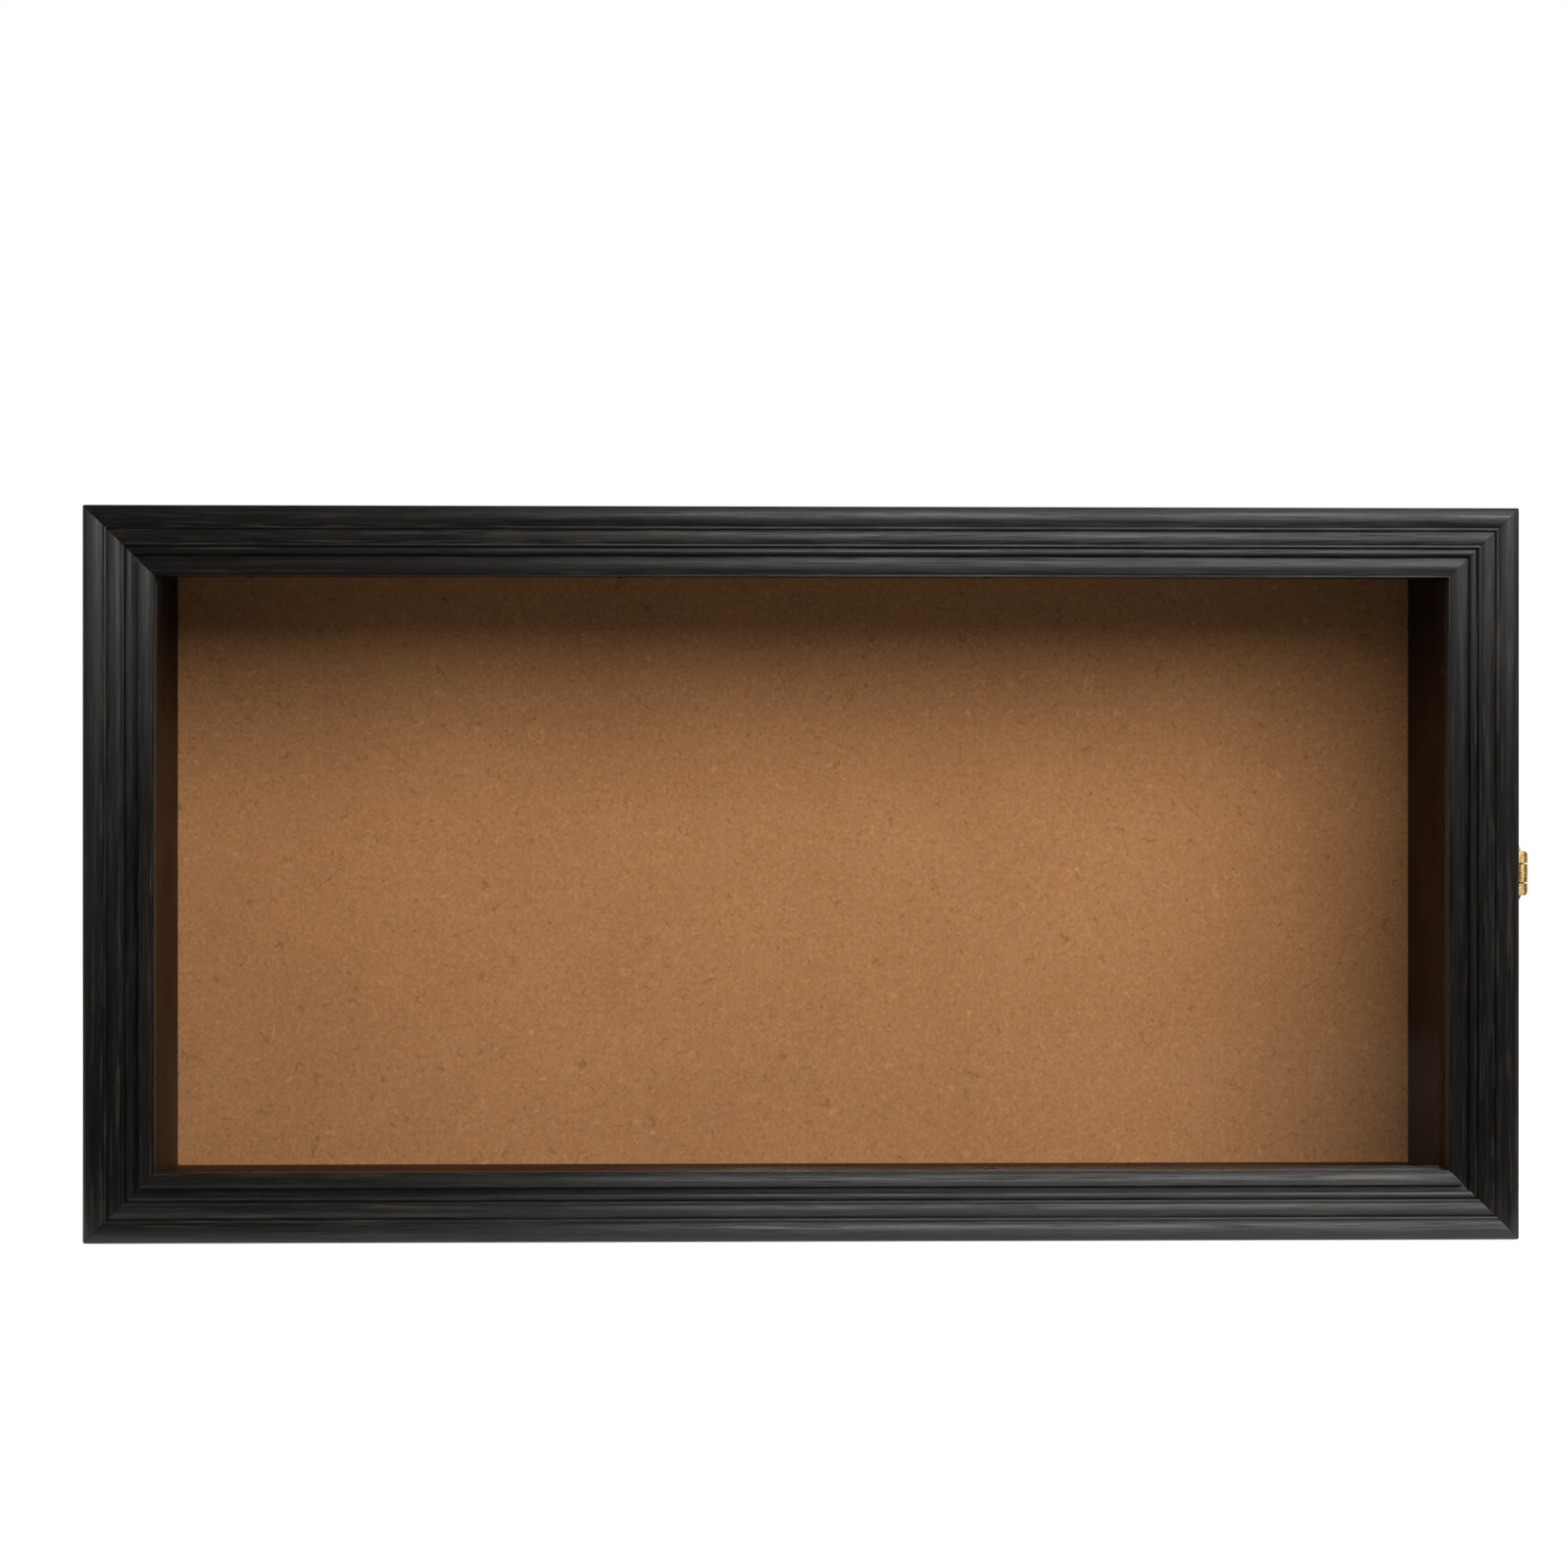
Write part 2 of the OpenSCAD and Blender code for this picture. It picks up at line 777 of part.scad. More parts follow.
module clasp_door_plate() {
    color(brass)
        difference() {
            union() {
                side_plate(clasp_x, door_plate_end - door_plate_l, door_plate_end, door_plate_w);
                for (end = [0, 1])
                    translate([clasp_pin_x, clasp_pin_y, clasp_z]) mirror([0, 0, end]) clasp_lug();
            }
            translate([clasp_pin_x, clasp_pin_y, clasp_z])
                cylinder(r = clasp_pin_r + pin_gap, h = 3 * lug_end, center = true);
            door_nail_places() nail_hole(clasp_nail_r, clasp_nail_l);
        }
}

module door_nail_places() {
    for (z = [-door_nail_z, door_nail_z])
        translate([clasp_x + brass_t, door_nail_y, clasp_z + z]) rotate([0, -90, 0]) children();
}

// A nail with a domed head
module domed_nail() {
    dome = arc_radius(2 * clasp_nail_head_r, clasp_nail_head_t);
    shank(clasp_nail_r, clasp_nail_l);
    intersection() {
        translate([0, 0, dome - clasp_nail_head_t]) sphere(dome);
        translate([0, 0, -clasp_nail_head_t]) cylinder(r = clasp_nail_head_r, h = clasp_nail_head_t);
    }
}

module clasp_door_nails() {
    color(brass) door_nail_places() domed_nail();
}

module clasp_pin() {
    color(steel)
        translate([clasp_pin_x, clasp_pin_y, clasp_z])
            cylinder(r = clasp_pin_r, h = 2 * lug_end - swing_gap, center = true);
}

// Outline of the lever seen from the side of the case: wide at the pin, with a rounded bill
module lever_outline() {
    half = lever_w / 2 - shoulder_r;
    bill = bill_w / 2 - bill_r;
    end = lever_front + lever_l - bill_r;
    shoulder = lever_front + shoulder_l;
    polygon(concat(
        [[lever_front, -lever_w / 2]],
        arc([shoulder, -half], shoulder_r, -90, -40, 4),
        arc([end, -bill], bill_r, -90, 0, 6),
        arc([end, bill], bill_r, 0, 90, 6),
        arc([shoulder, half], shoulder_r, 40, 90, 4),
        [[lever_front, lever_w / 2]]
    ));
}

// Lever: an arched sheet over the catch, hung on the pin by a strap and a knuckle
module clasp_lever() {
    arch_x = lever_crown - lever_r;
    color(brass)
        difference() {
            union() {
                intersection() {
                    translate([lever_lift, 0, clasp_z])
                        rotate([90, 0, 90]) linear_extrude(2 * lever_rise) lever_outline();
                    translate([arch_x, lever_front - past, clasp_z])
                        rotate([-90, 0, 0])
                            difference() {
                                cylinder(r = lever_r, h = lever_l + 2 * past);
                                translate([0, 0, -past])
                                    cylinder(r = lever_r - brass_t, h = lever_l + 4 * past);
                            }
                }
                translate([lever_crown - strap_drop - strap_t, clasp_pin_y, clasp_z - middle_knuckle / 2])
                    cube([strap_t, lever_front - clasp_pin_y + brass_t, middle_knuckle]);
                translate([clasp_pin_x, clasp_pin_y, clasp_z])
                    cylinder(r = clasp_barrel_r, h = middle_knuckle, center = true);
                translate([lever_crown - brass_t / 2, lever_front + lever_l - roll_r / 2, clasp_z])
                    cylinder(r = roll_r, h = bill_w - 2 * bill_r, center = true);
                translate([lever_crown - brass_t - nib_d + nib_r, lever_front + lever_l / 2, clasp_z])
                    intersection() {
                        sphere(nib_r);
                        translate([-2 * nib_r, -nib_r, -nib_r])
                            cube([nib_r + nib_d + brass_t / 2, 2 * nib_r, 2 * nib_r]);
                    }
            }
            translate([clasp_pin_x, clasp_pin_y, clasp_z])
                cylinder(r = clasp_pin_r + pin_gap, h = 2 * middle_knuckle, center = true);
        }
}

// Catch: a plate on the case with a pressed bump under the lever
module clasp_catch_plate() {
    r = arc_radius(bump_l, bump_rise);
    middle = catch_start + catch_l / 2;
    color(brass)
        difference() {
            union() {
                side_plate(case_w / 2, catch_start, catch_start + catch_l, catch_w);
                intersection() {
                    translate([case_w / 2 + bump_rise - r, middle, clasp_z])
                        difference() {
                            cylinder(r = r, h = bump_w, center = true);
                            cylinder(r = r - brass_t, h = 2 * bump_w, center = true);
                        }
                    translate([case_w / 2 + brass_t / 2, middle - bump_l, clasp_z - bump_w])
                        cube([2 * bump_rise, 2 * bump_l, 2 * bump_w]);
                }
            }
            catch_nail_places() nail_hole(clasp_nail_r, clasp_nail_l);
        }
}

module catch_nail_places() {
    for (z = [-catch_nail_z, catch_nail_z])
        translate([case_w / 2 + brass_t, catch_start + catch_l / 2, clasp_z + z])
            rotate([0, -90, 0]) children();
}

module clasp_catch_nails() {
    color(brass) catch_nail_places() domed_nail();
}

case_top();
case_bottom();
case_left_side();
case_right_side();
liner_top();
liner_bottom();
liner_left();
liner_right();
pinning_board();
back_panel();
back_panel_brads();
sawtooth_hanger();
hanger_nails();
door_top_rail();
door_bottom_rail();
door_left_stile();
door_right_stile();
door_corner_nails();
glass_pane();
glazing_bead_top();
glazing_bead_bottom();
glazing_bead_left();
glazing_bead_right();
glazing_pins();
upper_hinge_case_leaf();
upper_hinge_door_leaf();
upper_hinge_pin();
lower_hinge_case_leaf();
lower_hinge_door_leaf();
lower_hinge_pin();
hinge_case_screws();
hinge_door_screws();
clasp_door_plate();
clasp_door_nails();
clasp_pin();
clasp_lever();
clasp_catch_plate();
clasp_catch_nails();
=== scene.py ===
import math

import bpy
from mathutils import Euler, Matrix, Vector


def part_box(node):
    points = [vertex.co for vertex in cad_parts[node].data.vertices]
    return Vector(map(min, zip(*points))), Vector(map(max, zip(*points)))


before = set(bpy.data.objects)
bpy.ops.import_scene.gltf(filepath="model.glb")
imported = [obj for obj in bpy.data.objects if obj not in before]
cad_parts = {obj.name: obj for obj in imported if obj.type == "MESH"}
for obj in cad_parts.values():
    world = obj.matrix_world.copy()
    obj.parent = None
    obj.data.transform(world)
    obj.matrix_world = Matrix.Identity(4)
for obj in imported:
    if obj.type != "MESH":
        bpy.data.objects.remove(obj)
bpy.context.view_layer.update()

# A millimetre in metres
MM = 0.001

# Where the front of the door's moulding is, along Y
DOOR_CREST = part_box("door_top_rail")[0].y
# How deep behind that front the moulding's crests are rubbed
RUBBED_DEPTH = 0.25 * MM

# The camera: where it stands, how far it turns towards the clasp in degrees, its lens and sensor
# in millimetres, and where it starts to see
CAMERA_PLACE = (-30.7 * MM, -1017.5 * MM, 114.0 * MM)
CAMERA_TURN = -1.487
CAMERA_LENS = 79.475
CAMERA_SENSOR = 36
CAMERA_SHIFT_UP = 0.031
CAMERA_NEAR = 10 * MM

# The soft boxes, each a place, a width and height, and a power: the key lamp in front of the case,
# above and to the right, a weaker one far to the left, and one behind for the back and top
LAMP_AIM = (0.0, 0.0, 0.10)
KEY_LAMP = ((0.38, -0.86, 0.56), (0.94, 0.60), 15.6)
LEFT_LAMP = ((-0.80, -0.95, 0.45), (0.40, 0.50), 1.6)
BACK_LAMP = ((-0.9, 1.5, 1.0), (1.4, 0.9), 12.0)

# How bright the studio is in front of the case and behind it, where white is 1, how much of the
# dim front shows in polished surfaces, and the directions along Y between which front turns to rear
FRONT_GLOW = 0.035
REAR_GLOW = 0.6
FRONT_SHINE = 0.15
REAR_EDGE = (-0.35, 0.5)

# The floor: how far it reaches, and the glow that brings it to white where the lamps light it
FLOOR_REACH = 6.0
FLOOR_COLOUR = (0.86, 0.86, 0.85, 1)
FLOOR_GLOW = 0.72
# The distances between which the floor turns to plain white
FLOOR_FADE = (0.7, 2.2)
# Polished surfaces see the floor white behind the door's front, and dark from this far before it
FLOOR_SHINE_END = 0.05
# Share of the light that the floor keeps from throwing back up at the case, and its colour there
FLOOR_SOAK = 0.65
FLOOR_DARK = (0.03, 0.03, 0.03, 1)

# Colours of the materials, as linear red, green, blue and alpha
WHITE = (1, 1, 1, 1)
STAIN_DARK = (0.0030, 0.0028, 0.0026, 1)
STAIN_LIGHT = (0.0085, 0.0078, 0.0070, 1)
STAIN_STREAK = (0.0050, 0.0036, 0.0026, 1)
STAIN_PORE = (0.0015, 0.0014, 0.0013, 1)
STAIN_RUBBED = (0.055, 0.047, 0.038, 1)
LINING_DARK = (0.013, 0.0045, 0.0014, 1)
LINING_LIGHT = (0.030, 0.0105, 0.0030, 1)
LINING_STREAK = (0.007, 0.0025, 0.0008, 1)
BOARD_LIGHT = (0.455, 0.208, 0.086, 1)
BOARD_DARK = (0.415, 0.186, 0.075, 1)
HARDBOARD_LIGHT = (0.22, 0.115, 0.050, 1)
HARDBOARD_DARK = (0.15, 0.075, 0.030, 1)
GLASS_TINT = (0.985, 0.995, 0.99, 1)
BRASS_BRIGHT = (0.95, 0.66, 0.27, 1)
BRASS_DULL = (0.34, 0.19, 0.065, 1)
STEEL_BRIGHT = (0.60, 0.60, 0.61, 1)
STEEL_BLACK = (0.05, 0.045, 0.04, 1)

# How much glass mirrors when it is seen squarely
GLASS_MIRROR = 0.04

# The sockets that a Mix node uses for colours: the share, the two colours and the result
MIX_SHARE, MIX_FIRST, MIX_SECOND, MIX_RESULT = 0, 6, 7, 2


class Shader:
    """A material's or the world's node tree, with short calls to add nodes to it."""

    def __init__(self, name, owner=None):
        self.material = owner or bpy.data.materials.new(name)
        self.material.use_nodes = True
        self.tree = self.material.node_tree
        self.tree.nodes.clear()
        self.place = self.add("ShaderNodeTexCoord").outputs["Object"]

    def add(self, kind, inputs=None, **settings):
        """Adds a node. A socket given as an input is linked, and a number or colour is set."""
        node = self.tree.nodes.new(kind)
        for name, value in settings.items():
            setattr(node, name, value)
        for name, value in (inputs or {}).items():
            if isinstance(value, bpy.types.NodeSocket):
                self.tree.links.new(value, node.inputs[name])
            else:
                node.inputs[name].default_value = value
        return node

    def math(self, operation, first, second=0.0):
        """One sum of two sockets or numbers."""
        return self.add("ShaderNodeMath", {0: first, 1: second}, operation=operation).outputs[0]

    def noise(self, scale, detail=2.0, rough=0.5, vector=None, distortion=0.0):
        """Soft noise, whose scale is in cycles per metre."""
        inputs = {"Vector": vector or self.place, "Scale": scale, "Detail": detail}
        inputs.update({"Roughness": rough, "Distortion": distortion})
        return self.add("ShaderNodeTexNoise", inputs).outputs["Fac"]

    def grain(self, axis, along, across, detail, rough, distortion=0.0):
        """Noise drawn out along one axis, with its cycles per metre along and across that axis."""
        scale = tuple(along if name == axis else across for name in "XYZ")
        drawn = self.add("ShaderNodeMapping", {"Vector": self.place, "Scale": scale}).outputs["Vector"]
        return self.noise(1.0, detail, rough, drawn, distortion)

    def spread(self, value, low, high, out_low=0.0, out_high=1.0):
        """A value between two limits, brought between two others."""
        inputs = {"Value": value, "From Min": low, "From Max": high}
        inputs.update({"To Min": out_low, "To Max": out_high})
        return self.add("ShaderNodeMapRange", inputs).outputs["Result"]

    def blend(self, share, first, second):
        """Two colours mixed by a share."""
        inputs = {MIX_SHARE: share, MIX_FIRST: first, MIX_SECOND: second}
        return self.add("ShaderNodeMix", inputs, data_type="RGBA").outputs[MIX_RESULT]

    def layer(self, mask, strength, under, colour):
        """A colour laid over another where a mask is, at a strength."""
        return self.blend(self.math("MULTIPLY", mask, strength), under, colour)

    def bump(self, height, strength, depth, under=None):
        """A bump whose depth is in metres, on top of another if there is one."""
        inputs = {"Height": height, "Strength": strength, "Distance": depth}
        if under is not None:
            inputs["Normal"] = under
        return self.add("ShaderNodeBump", inputs).outputs["Normal"]

    def groove(self, mask, strength, depth, under=None):
        """A bump that sinks where a mask is."""
        return self.bump(self.math("MULTIPLY", mask, -1.0), strength, depth, under)

    def y_of(self, vector):
        """The Y of a vector."""
        return self.add("ShaderNodeSeparateXYZ", {"Vector": vector}).outputs["Y"]

    def direction(self, axis):
        """The direction of one of the object's axes, which turns with the object."""
        inputs = {"Vector": tuple(1.0 if name == axis else 0.0 for name in "XYZ")}
        settings = {"vector_type": "VECTOR", "convert_from": "OBJECT", "convert_to": "WORLD"}
        return self.add("ShaderNodeVectorTransform", inputs, **settings).outputs["Vector"]

    def surface(self, inputs):
        """A Principled surface as the material's output."""
        shader = self.add("ShaderNodeBsdfPrincipled", inputs).outputs["BSDF"]
        self.add("ShaderNodeOutputMaterial", {"Surface": shader})
        return self.material


def shade(colour, share):
    """A colour made darker or lighter."""
    return tuple(min(1.0, share * part) for part in colour[:3]) + (1,)


def rubbed_edges(s, axis):
    """Where the stain is rubbed: the moulding's crests and the arrises, in streaks along the grain."""
    crest = s.spread(s.y_of(s.place), DOOR_CREST + RUBBED_DEPTH, DOOR_CREST)
    arris = s.spread(s.add("ShaderNodeNewGeometry").outputs["Pointiness"], 0.57, 0.66)
    worn = s.spread(s.grain(axis, along=45.0, across=900.0, detail=3.0, rough=0.7), 0.48, 0.70)
    return s.math("MULTIPLY", s.math("MAXIMUM", crest, arris), worn)


def black_wood(name, axis):
    """Open-grained wood, stained black: satin, with duller pore streaks and rubbed arrises."""
    s = Shader(name)
    figure = s.grain(axis, along=5.0, across=160.0, detail=3.0, rough=0.6, distortion=0.4)
    pore = s.spread(s.grain(axis, along=60.0, across=2600.0, detail=2.0, rough=0.7), 0.54, 0.66)
    band = s.grain(axis, along=16.0, across=620.0, detail=3.0, rough=0.65, distortion=0.3)
    streak = s.spread(band, 0.46, 0.62)
    colour = s.blend(s.spread(figure, 0.3, 0.7), STAIN_DARK, STAIN_LIGHT)
    colour = s.layer(streak, 0.5, colour, STAIN_STREAK)
    colour = s.layer(pore, 0.7, colour, STAIN_PORE)
    colour = s.layer(rubbed_edges(s, axis), 0.5, colour, STAIN_RUBBED)
    rough = s.spread(s.noise(22.0, detail=3.0, rough=0.6), 0.3, 0.7, out_low=0.27, out_high=0.33)
    rough = s.math("ADD", rough, s.math("MULTIPLY", pore, 0.22))
    rough = s.math("ADD", rough, s.math("MULTIPLY", streak, 0.16))
    normal = s.groove(pore, strength=0.4, depth=0.03 * MM)
    normal = s.groove(streak, strength=0.5, depth=0.06 * MM, under=normal)
    normal = s.bump(figure, strength=0.3, depth=0.08 * MM, under=normal)
    inputs = {"Base Color": colour, "Roughness": rough, "Normal": normal, "Specular IOR Level": 0.37}
    inputs.update({"Anisotropic": 0.9, "Anisotropic Rotation": 0.25, "Tangent": s.direction(axis)})
    return s.surface(inputs)


def dark_wood(name, axis):
    """The dark brown lining: finer grain, and duller than the black wood."""
    s = Shader(name)
    figure = s.grain(axis, along=7.0, across=220.0, detail=4.0, rough=0.6, distortion=0.6)
    streak = s.grain(axis, along=40.0, across=1500.0, detail=2.0, rough=0.7)
    colour = s.blend(s.spread(figure, 0.3, 0.7), LINING_DARK, LINING_LIGHT)
    colour = s.blend(s.spread(streak, 0.55, 0.75, out_high=0.6), colour, LINING_STREAK)
    rough = s.spread(s.noise(30.0), 0.3, 0.7, out_low=0.48, out_high=0.60)
    normal = s.bump(streak, strength=0.3, depth=0.04 * MM)
    return s.surface({"Base Color": colour, "Roughness": rough, "Normal": normal, "Specular IOR Level": 0.12})


def fibres(s, size, width, share, seed):
    """Short curved hairs: thin contour lines of one noise, cut to lengths by another."""
    start = (seed, 0.37 * seed, 0.61 * seed)
    moved = s.add("ShaderNodeMapping", {"Vector": s.place, "Location": start}).outputs["Vector"]
    field = s.noise(1.0 / size, detail=1.0, rough=0.4, vector=moved)
    line = s.math("ABSOLUTE", s.math("SUBTRACT", field, 0.5))
    line = s.spread(line, width, width * 0.35)
    cut = s.noise(1.7 / size, detail=0.0, vector=moved)
    cut = s.spread(cut, 1.0 - share, 1.0 - share + 0.05)
    return s.math("MULTIPLY", line, cut)


def specks(s, scale, reach, share):
    """Small dots, one in some of a cell pattern's cells."""
    cells = s.add("ShaderNodeTexVoronoi", {"Vector": s.place, "Scale": scale}, feature="F1").outputs
    chosen = s.spread(cells["Color"], 1.0 - share, 1.0 - share + 0.02)
    return s.math("MULTIPLY", s.spread(cells["Distance"], reach, 0.5 * reach), chosen)


def fibreboard(name, light, dark):
    """Pressed board: a faintly mottled ground with fine curled fibres and a few dark specks."""
    s = Shader(name)
    colour = s.blend(s.spread(s.noise(28.0, detail=4.0, rough=0.6), 0.3, 0.7), dark, light)
    grain = s.noise(1100.0, detail=3.0, rough=0.7)
    colour = s.blend(s.spread(grain, 0.35, 0.65, out_high=0.36), colour, shade(dark, 0.60))
    curl = fibres(s, size=1.9 * MM, width=0.080, share=0.50, seed=3.1)
    colour = s.layer(curl, 0.28, colour, shade(dark, 0.55))
    pale_curl = fibres(s, size=2.2 * MM, width=0.075, share=0.48, seed=7.7)
    colour = s.layer(pale_curl, 0.26, colour, shade(light, 1.35))
    brown_hair = fibres(s, size=5.0 * MM, width=0.024, share=0.36, seed=5.3)
    colour = s.layer(brown_hair, 0.42, colour, shade(dark, 0.40))
    pale_hair = fibres(s, size=5.5 * MM, width=0.022, share=0.34, seed=1.9)
    colour = s.layer(pale_hair, 0.32, colour, shade(light, 1.6))
    big_dots = specks(s, scale=62.0, reach=0.045, share=0.10)
    small_dots = s.math("MULTIPLY", specks(s, scale=210.0, reach=0.11, share=0.14), 0.6)
    colour = s.layer(s.math("MAXIMUM", big_dots, small_dots), 0.75, colour, shade(dark, 0.16))
    height = s.math("ADD", grain, s.math("MULTIPLY", s.math("ADD", curl, pale_curl), 0.5))
    normal = s.bump(height, strength=0.4, depth=0.05 * MM)
    rough = s.spread(grain, 0.3, 0.7, out_low=0.72, out_high=0.9)
    return s.surface({"Base Color": colour, "Roughness": rough, "Normal": normal, "Specular IOR Level": 0.1})


def clear_glass(name):
    """A pane of float glass: see-through, with a reflection that grows towards grazing angles."""
    s = Shader(name)
    facing = s.add("ShaderNodeLayerWeight", {"Blend": 0.5}).outputs["Facing"]
    grazing = s.math("MULTIPLY", s.math("POWER", facing, 5.0), 1.0 - GLASS_MIRROR)
    mirror = s.math("ADD", grazing, GLASS_MIRROR)
    clear = s.add("ShaderNodeBsdfTransparent", {"Color": GLASS_TINT}).outputs["BSDF"]
    smudge = s.spread(s.noise(45.0, detail=3.0, rough=0.6), 0.35, 0.7, out_high=0.05)
    inputs = {"Base Color": WHITE, "Metallic": 1.0, "Roughness": smudge}
    shine = s.add("ShaderNodeBsdfPrincipled", inputs).outputs["BSDF"]
    mixed = s.add("ShaderNodeMixShader", {0: mirror, 1: clear, 2: shine}).outputs["Shader"]
    s.add("ShaderNodeOutputMaterial", {"Surface": mixed})
    return s.material


def brass(name):
    """Stamped brass with a warm shine, darker where it has dulled, and fine scratches."""
    s = Shader(name)
    dull = s.spread(s.noise(420.0, detail=4.0, rough=0.65), 0.42, 0.72, out_high=0.30)
    colour = s.blend(dull, BRASS_BRIGHT, BRASS_DULL)
    scratch = s.grain("Z", along=9000.0, across=900.0, detail=2.0, rough=0.8)
    polish = s.spread(scratch, 0.3, 0.7, out_low=0.20, out_high=0.32)
    rough = s.math("ADD", s.math("MULTIPLY", dull, 0.30), polish)
    normal = s.bump(scratch, strength=0.15, depth=0.01 * MM)
    return s.surface({"Base Color": colour, "Metallic": 1.0, "Roughness": rough, "Normal": normal})


def steel(name, light):
    """Drawn wire, bright or blackened."""
    s = Shader(name)
    mark = s.noise(2400.0, detail=3.0, rough=0.7)
    colour = s.blend(s.spread(mark, 0.3, 0.7), shade(light, 0.7), light)
    rough = s.spread(mark, 0.3, 0.7, out_low=0.28, out_high=0.45)
    return s.surface({"Base Color": colour, "Metallic": 1.0, "Roughness": rough})


def paint(names, material):
    """Gives nodes one material in place of their own."""
    for name in names:
        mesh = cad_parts[name].data
        mesh.materials.clear()
        mesh.materials.append(material)


def finish_wood():
    """Wood whose grain runs along each piece."""
    along_x = black_wood("black_wood_across", "X")
    along_z = black_wood("black_wood_upright", "Z")
    paint(["case_top", "case_bottom", "door_top_rail", "door_bottom_rail"], along_x)
    paint(["case_left_side", "case_right_side", "door_left_stile", "door_right_stile"], along_z)
    lining_x = dark_wood("dark_wood_across", "X")
    lining_z = dark_wood("dark_wood_upright", "Z")
    paint(["liner_top", "liner_bottom", "glazing_bead_top", "glazing_bead_bottom"], lining_x)
    paint(["liner_left", "liner_right", "glazing_bead_left", "glazing_bead_right"], lining_z)


def finish_boards():
    """The pinning board, the darker back panel and the glass."""
    paint(["pinning_board"], fibreboard("brown_board", BOARD_LIGHT, BOARD_DARK))
    paint(["back_panel"], fibreboard("hardboard", HARDBOARD_LIGHT, HARDBOARD_DARK))
    paint(["glass_pane"], clear_glass("clear_glass"))


def finish_metal():
    """Brass for the hinges, the clasp and the hanger, and steel for wire and nails."""
    hinges = [f"{level}_hinge_{piece}" for level in ("upper", "lower")
              for piece in ("case_leaf", "door_leaf", "pin")]
    screws = ["hinge_case_screws", "hinge_door_screws"]
    clasp = ["clasp_door_plate", "clasp_door_nails", "clasp_lever", "clasp_catch_plate", "clasp_catch_nails"]
    paint(hinges + screws + clasp + ["sawtooth_hanger"], brass("brass"))
    paint(["back_panel_brads", "hanger_nails", "door_corner_nails"], steel("steel", STEEL_BRIGHT))
    paint(["glazing_pins", "clasp_pin"], steel("black_steel", STEEL_BLACK))


def make_camera():
    """The photograph's camera."""
    data = bpy.data.cameras.new("camera")
    data.sensor_width = CAMERA_SENSOR
    data.lens = CAMERA_LENS
    data.shift_y = CAMERA_SHIFT_UP
    data.clip_start = CAMERA_NEAR
    camera = bpy.data.objects.new("camera", data)
    camera.location = CAMERA_PLACE
    camera.rotation_euler = Euler((math.radians(90), 0, math.radians(CAMERA_TURN)))
    bpy.context.scene.collection.objects.link(camera)
    bpy.context.scene.camera = camera


def soft_box(name, place, size, power):
    """A rectangular soft lamp that points at the case."""
    data = bpy.data.lights.new(name, "AREA")
    data.shape = "RECTANGLE"
    data.size, data.size_y = size
    data.energy = power
    lamp = bpy.data.objects.new(name, data)
    lamp.location = place
    lamp.rotation_euler = (Vector(LAMP_AIM) - Vector(place)).to_track_quat("-Z", "Y").to_euler()
    lamp.visible_camera = False
    bpy.context.scene.collection.objects.link(lamp)


def studio_world():
    """White to the camera and through glass. Elsewhere bright behind the case and dim in front of it."""
    world = bpy.data.worlds.new("studio")
    bpy.context.scene.world = world
    s = Shader("studio", world)
    direction = s.add("ShaderNodeTexCoord").outputs["Generated"]
    ray = s.add("ShaderNodeLightPath").outputs
    front = s.spread(ray["Is Glossy Ray"], 0, 1, FRONT_GLOW, FRONT_GLOW * FRONT_SHINE)
    behind = s.spread(s.y_of(direction), *REAR_EDGE)
    glow = s.math("ADD", s.math("MULTIPLY", s.math("SUBTRACT", REAR_GLOW, front), behind), front)
    seen = s.math("MAXIMUM", ray["Is Camera Ray"], ray["Is Transmission Ray"])
    inputs = {"Color": WHITE, "Strength": s.math("MAXIMUM", seen, glow)}
    background = s.add("ShaderNodeBackground", inputs).outputs["Background"]
    s.add("ShaderNodeOutputWorld", {"Surface": background})


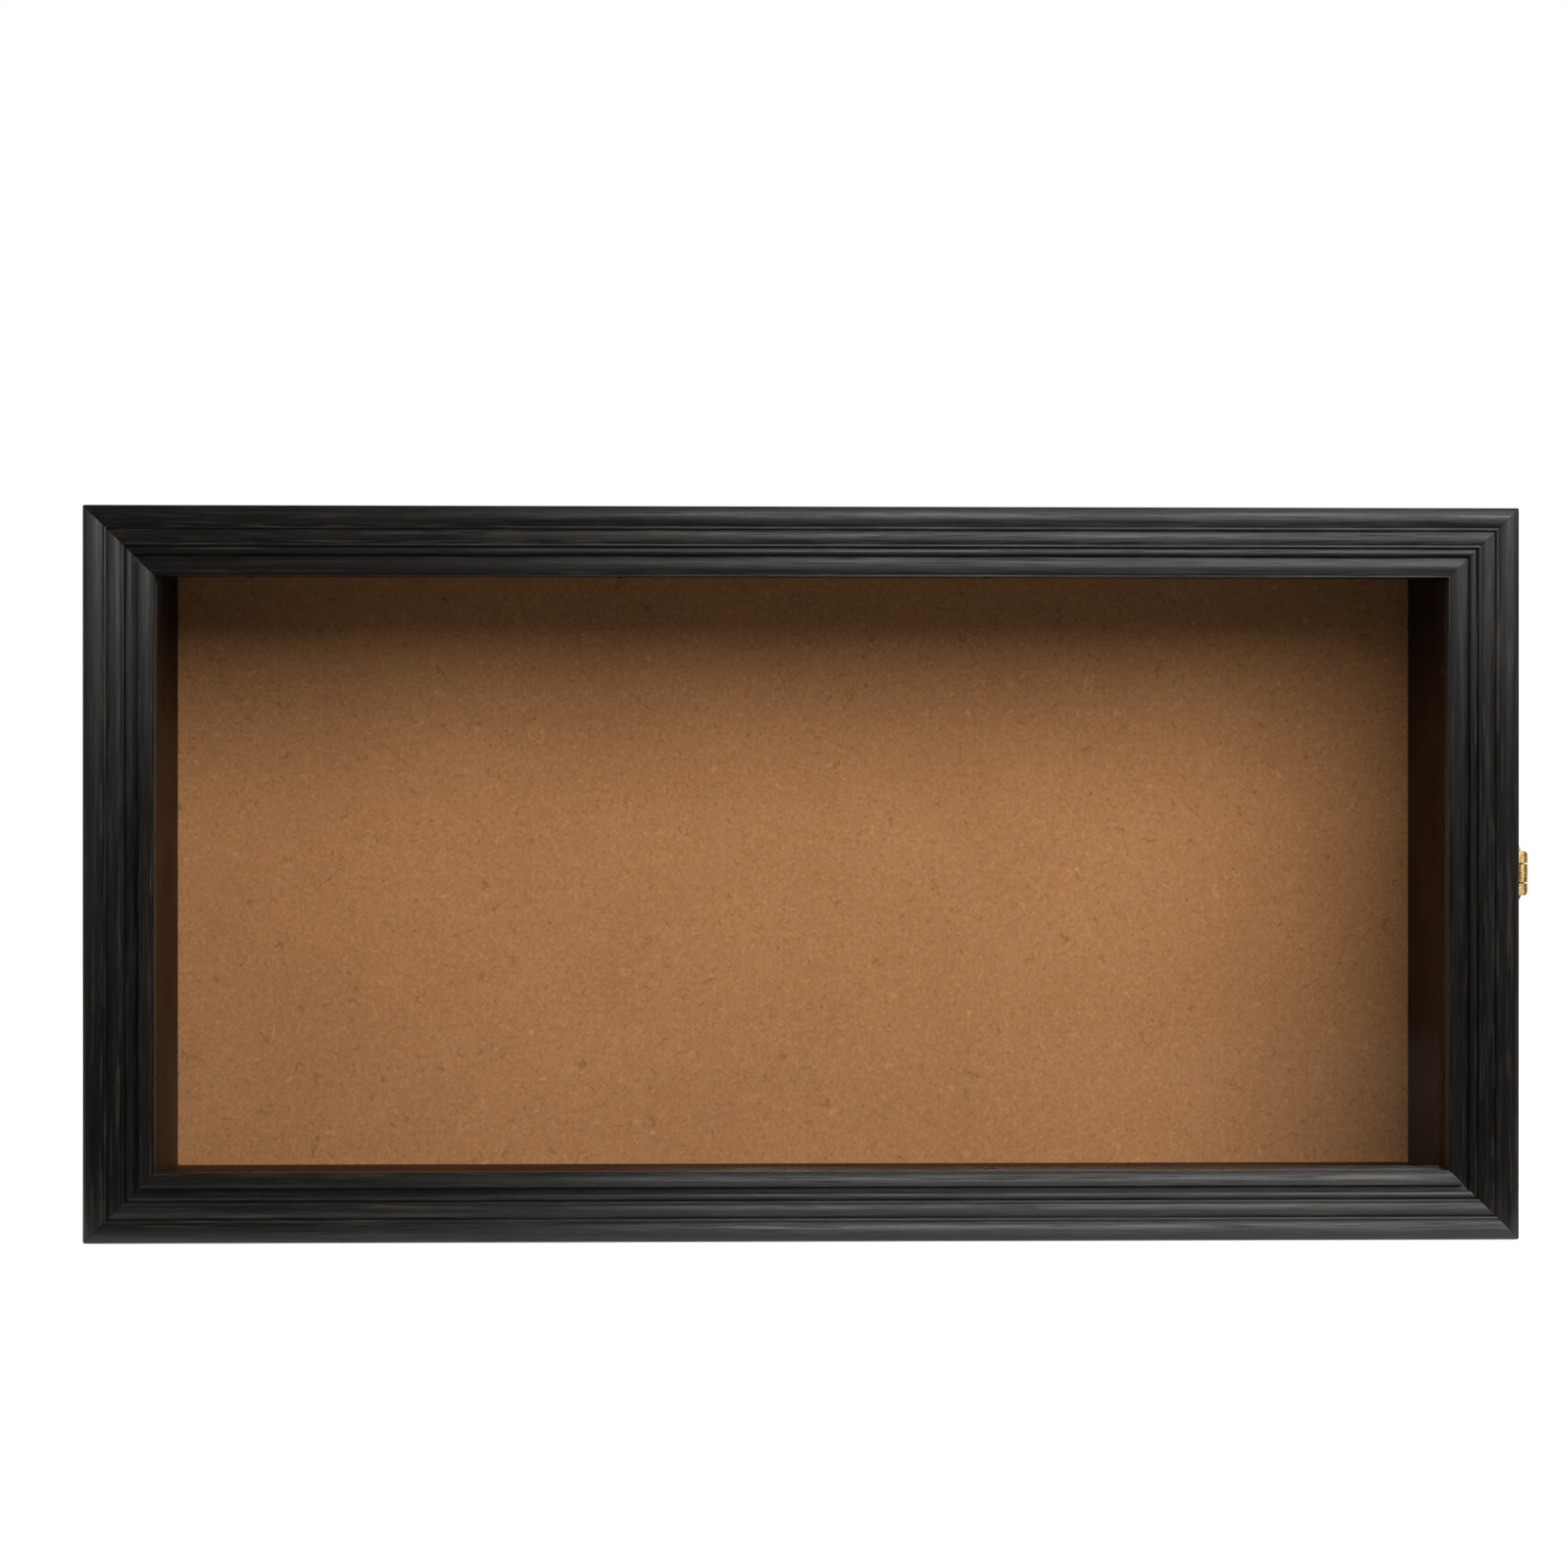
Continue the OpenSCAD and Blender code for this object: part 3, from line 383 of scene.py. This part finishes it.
def floor_material():
    """Keeps the object's shadow near it, turns to white further out, and throws little light back."""
    s = Shader("floor")
    distance = s.add("ShaderNodeVectorMath", {0: s.place}, operation="LENGTH").outputs["Value"]
    far = s.spread(distance, *FLOOR_FADE)
    ray = s.add("ShaderNodeLightPath").outputs
    shine = s.spread(s.y_of(s.place), DOOR_CREST - FLOOR_SHINE_END, DOOR_CREST)
    dimmed = s.math("MULTIPLY", ray["Is Glossy Ray"], s.math("SUBTRACT", 1.0, shine))
    dimmed = s.math("MAXIMUM", dimmed, s.math("MULTIPLY", ray["Is Diffuse Ray"], FLOOR_SOAK))
    colour = s.blend(dimmed, FLOOR_COLOUR, FLOOR_DARK)
    diffuse = s.add("ShaderNodeBsdfDiffuse", {"Color": colour}).outputs["BSDF"]
    seen = s.math("MAXIMUM", ray["Is Camera Ray"], s.math("MULTIPLY", ray["Is Glossy Ray"], shine))
    seen = s.math("MAXIMUM", seen, ray["Is Transmission Ray"])
    inputs = {"Color": WHITE, "Strength": s.math("MULTIPLY", seen, FLOOR_GLOW)}
    glow = s.add("ShaderNodeEmission", inputs).outputs["Emission"]
    lit = s.add("ShaderNodeAddShader", {0: diffuse, 1: glow}).outputs["Shader"]
    white = s.add("ShaderNodeEmission", {"Color": WHITE, "Strength": 1.0}).outputs["Emission"]
    share = s.math("MULTIPLY", far, seen)
    mixed = s.add("ShaderNodeMixShader", {0: share, 1: lit, 2: white}).outputs["Shader"]
    s.add("ShaderNodeOutputMaterial", {"Surface": mixed})
    return s.material


def make_floor():
    """A pale square floor."""
    mesh = bpy.data.meshes.new("floor")
    corners = [(x * FLOOR_REACH, y * FLOOR_REACH, 0) for x, y in ((-1, -1), (1, -1), (1, 1), (-1, 1))]
    mesh.from_pydata(corners, [], [(0, 1, 2, 3)])
    floor = bpy.data.objects.new("floor", mesh)
    bpy.context.scene.collection.objects.link(floor)
    mesh.materials.append(floor_material())


make_camera()
finish_wood()
finish_boards()
finish_metal()
soft_box("key_lamp", *KEY_LAMP)
soft_box("left_lamp", *LEFT_LAMP)
soft_box("back_lamp", *BACK_LAMP)
studio_world()
make_floor()
bpy.context.scene.view_settings.view_transform = "Standard"
